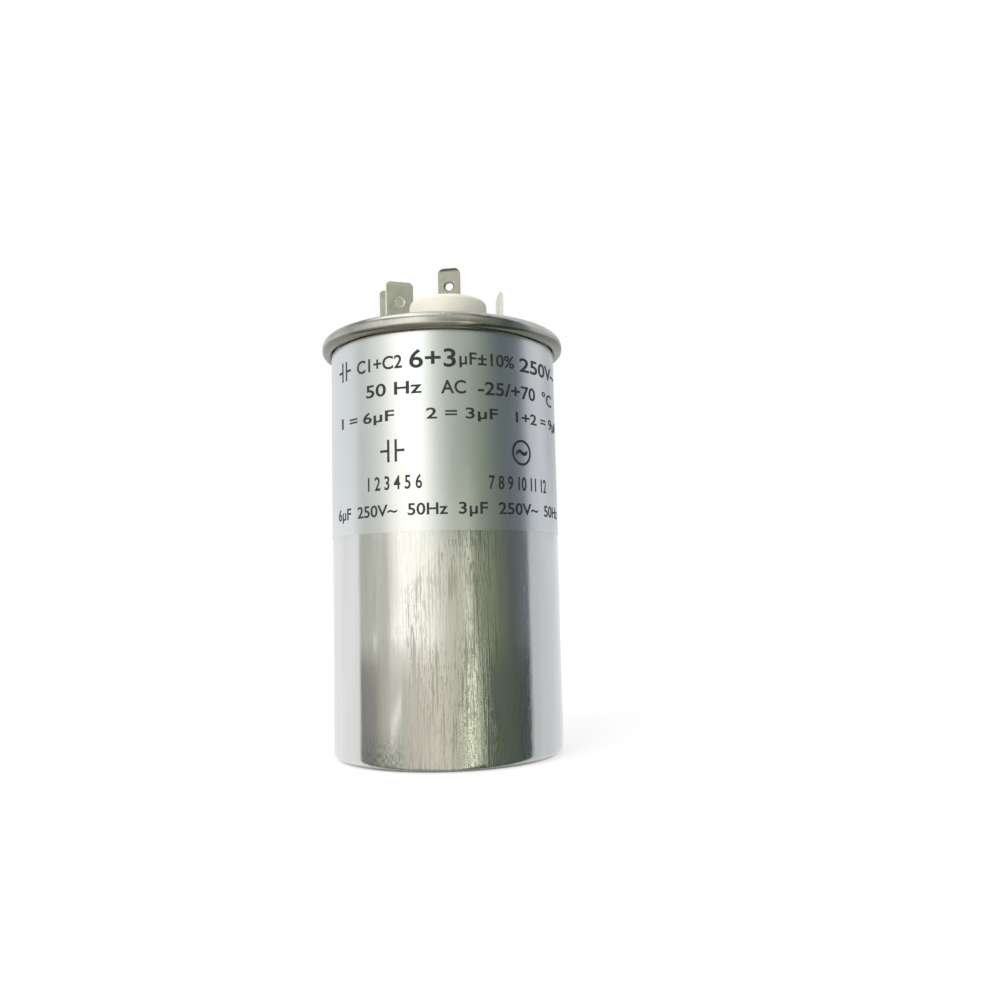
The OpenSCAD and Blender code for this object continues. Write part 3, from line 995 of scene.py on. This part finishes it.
def countersink(piece, diameter, up, face_y, across=0):
    """Breaks the front edge of a hole with a short cone."""
    radius = diameter / 2
    bpy.ops.mesh.primitive_cone_add(vertices=HOLE_SIDES, radius1=radius * MM,
                                    radius2=(radius + 2 * SINK) * MM, depth=2 * SINK * MM,
                                    location=(across * MM, face_y * MM, up * MM),
                                    rotation=(math.pi / 2, 0, 0))
    cut_away(piece, bpy.context.object)


def thin_tip(piece, tab_y, tip_z):
    """Thins the tip of the tab that stands at this distance from the axis."""
    bevel_z = (tip_z - TIP_BEVEL_H) * MM
    edit_all(piece)
    bpy.ops.mesh.bisect(plane_co=(0, 0, bevel_z), plane_no=(0, 0, 1), threshold=CUT_TOLERANCE)
    above = bevel_z + TIP_CLEARANCE * MM
    near = 1.5 * TAB_T * MM
    select_points(piece, lambda co: co.z > above and abs(co.y - tab_y * MM) < near)
    bpy.ops.transform.resize(value=(1, TIP_THINNED, 1), center_override=(0, tab_y * MM, tip_z * MM))
    bpy.ops.object.mode_set(mode="OBJECT")


def soften_edges(piece):
    """Bevels every sharp edge and keeps the flats flat."""
    tidy_mesh(piece)
    modify(piece, "BEVEL", width=EDGE_BEVEL * MM, segments=2, limit_method="ANGLE", angle_limit=SHARP_ANGLE)
    select_only(piece)
    bpy.ops.object.shade_smooth_by_angle(angle=FLAT_ANGLE)
    modify(piece, "WEIGHTED_NORMAL", keep_sharp=True)


# %% Fold the front terminal
FRONT_TAB_H = 8.0
FRONT_TAB_W = 4.8
FRONT_HOLE_D = 1.8
FRONT_HOLE_DROP = 4.1
FRONT_TURN = math.radians(-12)
FRONT_SHIFT = 0.35
SHOULDER_W = 6.6
SHOULDER_H = 0.9
TAIL_W = 3.6
TAIL_FOOT = 2.6
CORNER_CUT = 1.2

terminal_low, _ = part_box("terminal_front")
TAIL_END = terminal_low.z / MM - BUSHING_Z
fold_z = TAIL_END + TAB_T / 2 + bend_mid

front_line = [(bend_mid + TAIL_FOOT, TAIL_END + TAB_T / 2)]
front_line += arc((bend_mid, fold_z), bend_mid, 270, 180, 8)
front_line += [(0, FRONT_TAB_H)]
tab_left = FRONT_SHIFT - FRONT_TAB_W / 2
tab_right = FRONT_SHIFT + FRONT_TAB_W / 2
shoulder_left = FRONT_SHIFT - SHOULDER_W / 2
shoulder_right = FRONT_SHIFT + SHOULDER_W / 2
front_outline = [
    (-TAIL_W / 2, TAIL_END - SPARE), (TAIL_W / 2, TAIL_END - SPARE), (TAIL_W / 2, 0),
    (shoulder_right, 0), (shoulder_right, SHOULDER_H), (tab_right, SHOULDER_H),
    *arc((tab_right - CORNER_CUT, FRONT_TAB_H - CORNER_CUT), CORNER_CUT, 0, 90, 6),
    *arc((tab_left + CORNER_CUT, FRONT_TAB_H - CORNER_CUT), CORNER_CUT, 90, 180, 6),
    (tab_left, SHOULDER_H), (shoulder_left, SHOULDER_H), (shoulder_left, 0), (-TAIL_W / 2, 0),
]
front_tab = draw("front_terminal", front_line, across="Y")
widen(front_tab, SHOULDER_W + 2 * SPARE)
trim(front_tab, front_outline)
punch_tab(front_tab, FRONT_HOLE_D, FRONT_TAB_H - FRONT_HOLE_DROP, FRONT_SHIFT)
countersink(front_tab, FRONT_HOLE_D, FRONT_TAB_H - FRONT_HOLE_DROP, -TAB_T / 2, FRONT_SHIFT)
thin_tip(front_tab, 0, FRONT_TAB_H)
soften_edges(front_tab)
front_tab.data.materials.append(SHADED_FRONT_FINISH)
print(front_tab.name, "faces:", len(front_tab.data.polygons))

# %% Fold the two side terminals
SIDE_TAB_W = 6.35
SIDE_HOLE_D = 2.0
SIDE_HOLE_DROP = 4.8
LEFT_TAB_H = 9.4
LEFT_TURN = math.radians(16)
LEFT_CORNER = 0.7
LEFT_REACH = 3.5
RIGHT_TAB_H = 8.3
RIGHT_TURN = math.radians(96)
RIGHT_REACH = 4.3
BASE_BACK = 3.0

# A face that looks this much to the side is a sheared one, and gets the pale finish of a painted highlight
SHEARED = 0.8


def tab_outline(tab_h, corner):
    """Front view of a side tab, from under its base to its cut corners."""
    half = SIDE_TAB_W / 2
    return [(-half, -SPARE), (half, -SPARE), (half, tab_h - corner), (half - corner, tab_h),
            (corner - half, tab_h), (-half, tab_h - corner)]


def side_terminal(name, line_points, tab_h, corner, tab_places):
    """A riveted terminal, folded from the middle line of its strip, with its tabs facing front and back."""
    piece = draw(name, line_points, across="Y")
    widen(piece, SIDE_TAB_W + SPARE)
    trim(piece, tab_outline(tab_h, corner))
    punch_tab(piece, SIDE_HOLE_D, tab_h - SIDE_HOLE_DROP)
    countersink(piece, SIDE_HOLE_D, tab_h - SIDE_HOLE_DROP, tab_places[0] - TAB_T / 2)
    punch_base(piece, 2 * RIVET_BORE_R)
    for place in tab_places:
        thin_tip(piece, place, tab_h)
    soften_edges(piece)
    piece.data.materials.append(SIDE_FINISH)
    piece.data.materials.append(EDGE_HIGHLIGHT_FINISH)
    # The sheared sides get the pale finish, a painted highlight
    for face in piece.data.polygons:
        face.material_index = 1 if abs(face.normal.x) > SHEARED else 0
    print(piece.name, "faces:", len(piece.data.polygons))
    return piece


def leg(reach, tab_h):
    """Middle line of half a base, its bend and its tab, towards the front."""
    fold = (-reach + bend_mid, TAB_T / 2 + bend_mid)
    return arc(fold, bend_mid, 270, 180, 8) + [(-reach, tab_h)]


left_line = [(-y, z) for y, z in reversed(leg(LEFT_REACH, LEFT_TAB_H))] + leg(LEFT_REACH, LEFT_TAB_H)
right_line = [(BASE_BACK, TAB_T / 2)] + leg(RIGHT_REACH, RIGHT_TAB_H)
left_tab = side_terminal("left_terminal", left_line, LEFT_TAB_H, LEFT_CORNER, (-LEFT_REACH, LEFT_REACH))
right_tab = side_terminal("right_terminal", right_line, RIGHT_TAB_H, CORNER_CUT, (-RIGHT_REACH,))

# %% Turn the rivets
RIVET_R = 1.3
RIVET_HEAD_R = 2.2
RIVET_HEAD_H = 1.1
RIVET_TAIL_R = 2.4
RIVET_TAIL_T = 0.8
RIVET_STEPS = 64

rivet_low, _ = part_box("rivet_left")
RIVET_END = rivet_low.z / MM
HEAD_Z = BUSHING_Z + TAB_T
dome_r = (RIVET_HEAD_R ** 2 + RIVET_HEAD_H ** 2) / (2 * RIVET_HEAD_H)
dome_start = math.degrees(math.asin((dome_r - RIVET_HEAD_H) / dome_r))
rivet_outline = [(0, RIVET_END), (RIVET_TAIL_R, RIVET_END), (RIVET_TAIL_R, RIVET_END + RIVET_TAIL_T)]
rivet_outline += [(RIVET_R, RIVET_END + RIVET_TAIL_T), (RIVET_R, HEAD_Z)]
rivet_outline += arc((0, HEAD_Z + RIVET_HEAD_H - dome_r), dome_r, dome_start, 90, 10)
rivet_pieces = {
    "left": spin(draw("left_rivet", rivet_outline), steps=RIVET_STEPS),
    "right": spin(draw("right_rivet", rivet_outline), steps=RIVET_STEPS),
}
print("rivets from", round(RIVET_END, 2), "to", round(HEAD_Z + RIVET_HEAD_H, 2), "mm")

# %% Put the bushings, terminals and rivets in their places
TERMINALS = {
    "front": (front_tab, FRONT_TURN),
    "left": (left_tab, LEFT_TURN),
    "right": (right_tab, RIGHT_TURN),
}

for side, (terminal, turn) in TERMINALS.items():
    axis = bushing_axes[side]
    move_to(bushing_pieces[side], axis, turn)
    dress(bushing_pieces[side], IVORY_FINISH, "bushing_" + side)
    move_to(terminal, axis + Vector((0, 0, BUSHING_Z * MM)), turn)
    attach(terminal, "root")
    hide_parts("terminal_" + side)
for side, rivet in rivet_pieces.items():
    move_to(rivet, bushing_axes[side])
    dress(rivet, RIVET_FINISH, "rivet_" + side)

# %% [markdown]
# ## The seals under the lid
# A rubber ring under each bushing and a fibre washer under the lid make the can tight. They are hidden in
# the closed can, and their solids already have the right shape, so they only get a finish.

# %% Finish of the rubber and the fibre
MOTTLE_DEPTH = 0.01 * MM


def plain_finish(name, scale, dark, light, low, high):
    """A mottled finish between two tones and two values of roughness."""
    material, tree = start_finish(name)
    mottle = grains(tree, scale)
    shade = tones(tree, mottle, (0.3, dark), (0.7, light))
    wire(material, shade, spread(tree, mottle, low, high), relief(tree, mottle, MOTTLE_DEPTH))
    return material


RUBBER_FINISH = plain_finish("gasket_rubber", 900, (0.018, 0.018, 0.017), (0.035, 0.034, 0.032), 0.6, 0.75)
FIBRE_FINISH = plain_finish("washer_fibre", 700, (0.52, 0.44, 0.30), (0.64, 0.57, 0.42), 0.7, 0.85)
for side in BUSHINGS:
    frame["nodes"]["gasket_" + side].data.materials[0] = RUBBER_FINISH
    frame["nodes"]["washer_" + side].data.materials[0] = FIBRE_FINISH
print("seals dressed:", 2 * len(BUSHINGS))

# %% [markdown]
# ## The stage and the light
# Polished metal shows what stands round it, so the surroundings are part of its look. Behind the can all
# is white paper. In front, the room is a soft grey that is bright at the left, where a wide soft light
# hangs, and dark at the right. The room is painted on the world by direction, with tones that were set
# until the reflections came near the picture's, and the camera itself sees only white.

# %% Floor
FLOOR_SIZE = 6.0
PAPER_TONE = (0.86, 0.86, 0.86, 1)
PAPER_GLOW = 1.25

# The paper glows white for the camera, and less so near the can, where its shadow falls
GLOW_NEAR = 0.58
GLOW_REACH = (0.10, 0.28)

bpy.ops.object.select_all(action="DESELECT")
bpy.ops.mesh.primitive_plane_add(size=FLOOR_SIZE)
floor = bpy.context.object
floor.name = "paper_floor"
floor.visible_glossy = False
paper, paper_tree = start_finish("white_paper", base_color=PAPER_TONE, roughness=0.9)
paper_shader = paper_tree.nodes["Principled BSDF"]
seen = add(paper_tree, "LightPath").outputs["Is Camera Ray"]
white = add(paper_tree, "Emission", {"Color": (1, 1, 1, 1), "Strength": PAPER_GLOW})
paper_place = add(paper_tree, "TexCoord").outputs["Object"]
distance = add(paper_tree, "VectorMath", {0: paper_place}, operation="LENGTH").outputs["Value"]
glow = times(paper_tree, seen, spread(paper_tree, distance, GLOW_NEAR, 1, *GLOW_REACH))
lit_paper = add(paper_tree, "MixShader", {0: glow, 1: paper_shader.outputs[0], 2: white.outputs[0]})
paper_tree.links.new(lit_paper.outputs[0], paper_tree.nodes["Material Output"].inputs["Surface"])
floor.data.materials.append(paper)
print("floor in metres:", FLOOR_SIZE)

# %% Tones of the room
# Tones of the room by direction in degrees to the right of the front: high up, level, low down, overhead
HIGH_TONES = (
    (-180, (0.84, 0.84, 0.86)),
    (-98, (0.76, 0.78, 0.78)),
    (-94, (0.52, 0.54, 0.53)),
    (-62, (0.82, 0.83, 0.78)),
    (-50, (1.30, 1.25, 1.18)),
    (-24, (1.45, 1.45, 1.38)),
    (-10, (0.70, 0.71, 0.66)),
    (4, (0.34, 0.38, 0.35)),
    (13, (0.24, 0.28, 0.25)),
    (24, (0.22, 0.27, 0.22)),
    (44, (0.17, 0.21, 0.18)),
    (60, (0.11, 0.13, 0.15)),
    (86, (0.14, 0.16, 0.19)),
    (92, (0.56, 0.57, 0.60)),
    (116, (0.64, 0.64, 0.67)),
    (133, (0.46, 0.47, 0.49)),
    (155, (0.62, 0.63, 0.65)),
    (180, (0.84, 0.84, 0.86)),
)
LEVEL_TONES = (
    (-180, (0.93, 0.93, 0.96)),
    (-98, (0.90, 0.91, 0.92)),
    (-94.3, (0.53, 0.54, 0.51)),
    (-75, (0.60, 0.60, 0.54)),
    (-60, (0.63, 0.62, 0.55)),
    (-57, (0.86, 0.85, 0.79)),
    (-50, (1.00, 0.98, 0.91)),
    (-45, (1.25, 1.23, 1.15)),
    (-43.2, (1.50, 1.48, 1.42)),
    (-42, (1.22, 1.20, 1.11)),
    (-37, (1.28, 1.26, 1.16)),
    (-17, (1.22, 1.20, 1.08)),
    (-7, (0.88, 0.87, 0.76)),
    (3, (0.66, 0.66, 0.56)),
    (13, (0.60, 0.60, 0.48)),
    (22, (0.80, 0.82, 0.65)),
    (29, (0.24, 0.27, 0.19)),
    (44, (0.23, 0.27, 0.18)),
    (54, (0.16, 0.18, 0.14)),
    (66, (0.11, 0.13, 0.12)),
    (87, (0.18, 0.20, 0.22)),
    (91, (0.58, 0.60, 0.64)),
    (180, (0.93, 0.93, 0.96)),
)
FLOOR_TONES = (
    (-180, (0.93, 0.94, 0.96)),
    (-98, (0.90, 0.90, 0.90)),
    (-94.3, (0.22, 0.24, 0.23)),
    (-76, (0.34, 0.33, 0.30)),
    (-66, (0.50, 0.48, 0.42)),
    (-57, (0.62, 0.61, 0.54)),
    (-50, (0.57, 0.57, 0.50)),
    (-45, (0.54, 0.53, 0.46)),
    (-37, (0.66, 0.62, 0.54)),
    (-27, (0.68, 0.64, 0.55)),
    (-17, (0.77, 0.73, 0.63)),
    (-7, (0.74, 0.72, 0.60)),
    (3, (0.65, 0.63, 0.51)),
    (14, (0.48, 0.46, 0.38)),
    (20, (1.06, 1.08, 0.88)),
    (25, (1.14, 1.17, 0.95)),
    (31, (0.34, 0.37, 0.28)),
    (37, (0.13, 0.16, 0.11)),
    (87, (0.07, 0.09, 0.09)),
    (91, (0.58, 0.61, 0.63)),
    (180, (0.93, 0.94, 0.96)),
)
CEILING_TONES = (
    (-180, (0.70, 0.70, 0.71)),
    (-95, (0.56, 0.56, 0.57)),
    (-50, (1.15, 1.15, 1.10)),
    (-40, (1.30, 1.30, 1.24)),
    (-26, (1.75, 1.74, 1.66)),
    (-10, (0.76, 0.77, 0.68)),
    (4, (0.66, 0.67, 0.58)),
    (35, (0.55, 0.56, 0.48)),
    (50, (0.12, 0.14, 0.13)),
    (86, (0.05, 0.06, 0.07)),
    (92, (0.82, 0.82, 0.85)),
    (180, (0.70, 0.70, 0.71)),
)
DARK_CEILING = (0.32, 0.32, 0.29, 1)
SKYLIGHT = (1.80, 1.80, 1.74, 1)
print("tones round the room:", sum(map(len, (HIGH_TONES, LEVEL_TONES, FLOOR_TONES, CEILING_TONES))))

# %% Streaks of sun and the fields of the room
# Streaks of sun: the direction and rise of both ends, and the tone
STREAKS = (
    ((-57, -0.033), (-43, -0.027), (1.50, 1.48, 1.42, 1)),
    ((-46, -0.100), (-58, -0.140), (1.22, 1.20, 1.10, 1)),
    ((-78, -0.046), (-71, -0.040), (0.86, 0.90, 0.70, 1)),
)
STREAK_EDGE = (0.005, 0.012)
STREAK_ENDS = (1.1, 0.8)

# Rises between which one field of the room passes into the next. The last two fields keep to the left
HIGH_RISE = (0.05, 0.10)
FLOOR_RISE = (-0.045, -0.075)
CEILING_RISE = (0.29, 0.36)
DARK_RISE = (0.62, 0.68)
SKYLIGHT_RISE = (0.80, 0.86)
LEFT_SIDE = (-0.25, 0.05)
print("streaks of sun:", len(STREAKS))

# %% Paint the room
world = bpy.context.scene.world or bpy.data.worlds.new("room")
bpy.context.scene.world = world
world.use_nodes = True
room = world.node_tree
background = room.nodes["Background"]

direction = add(room, "TexCoord").outputs["Generated"]
faced = add(room, "Mapping", {"Vector": direction, "Rotation": (0, 0, math.pi / 2)}, vector_type="VECTOR")
around = add(room, "TexGradient", {"Vector": faced.outputs["Vector"]}, gradient_type="RADIAL").outputs["Fac"]
parts = add(room, "SeparateXYZ", {0: direction})
rise = parts.outputs["Z"]
at_left = spread(room, parts.outputs["X"], 1, 0, *LEFT_SIDE)


def by_direction(stops):
    """Tones round the horizon, read from directions in degrees."""
    return tones(room, around, *[(0.5 + angle / 360, colour) for angle, colour in stops])


def past(limits):
    """Where a direction has risen past two limits, or sunk past them if they fall."""
    return spread(room, rise, 0, 1, *limits)


def nearness(place):
    """How near a direction lies to a place, one being the same direction."""
    return add(room, "VectorMath", {0: direction, 1: place}, operation="DOT_PRODUCT").outputs["Value"]


def toward(angle, up):
    """Unit vector to a direction in degrees to the right of the front, at a rise."""
    level = math.sqrt(1 - up ** 2)
    return Vector((math.sin(math.radians(angle)) * level, -math.cos(math.radians(angle)) * level, up))


def streak(start, end):
    """How much of a direction lies in the streak between two others."""
    middle = (start + end).normalized()
    half = start.angle(end) / 2
    between = spread(room, nearness(middle), 0, 1, *[math.cos(half * share) for share in STREAK_ENDS])
    aside = combine(room, "ABSOLUTE", nearness(start.cross(end).normalized()))
    return times(room, between, spread(room, aside, 1, 0, *STREAK_EDGE))


painted = blend(room, past(HIGH_RISE), by_direction(LEVEL_TONES), by_direction(HIGH_TONES))
painted = blend(room, past(FLOOR_RISE), painted, by_direction(FLOOR_TONES))
for start, end, tone in STREAKS:
    painted = blend(room, streak(toward(*start), toward(*end)), painted, tone)
painted = blend(room, past(CEILING_RISE), painted, by_direction(CEILING_TONES))
painted = blend(room, times(room, past(DARK_RISE), at_left), painted, DARK_CEILING)
painted = blend(room, times(room, past(SKYLIGHT_RISE), at_left), painted, SKYLIGHT)
camera_sees = add(room, "LightPath").outputs["Is Camera Ray"]
room.links.new(blend(room, camera_sees, painted, (1, 1, 1, 1)), background.inputs["Color"])
background.inputs["Strength"].default_value = 1.0
print("room nodes:", len(room.nodes))

# %% Soft light
KEY_PLACE = Vector((-0.35, -0.45, 0.62))
KEY_SIZE = 0.45
KEY_POWER = 3.05
AIM = Vector((0, 0, 0.06))

bpy.ops.object.light_add(type="AREA", location=KEY_PLACE)
key = bpy.context.object
key.data.size = KEY_SIZE
key.data.energy = KEY_POWER
key.visible_glossy = False
key.rotation_euler = (AIM - KEY_PLACE).to_track_quat("-Z", "Y").to_euler()
print("light in watts:", KEY_POWER)
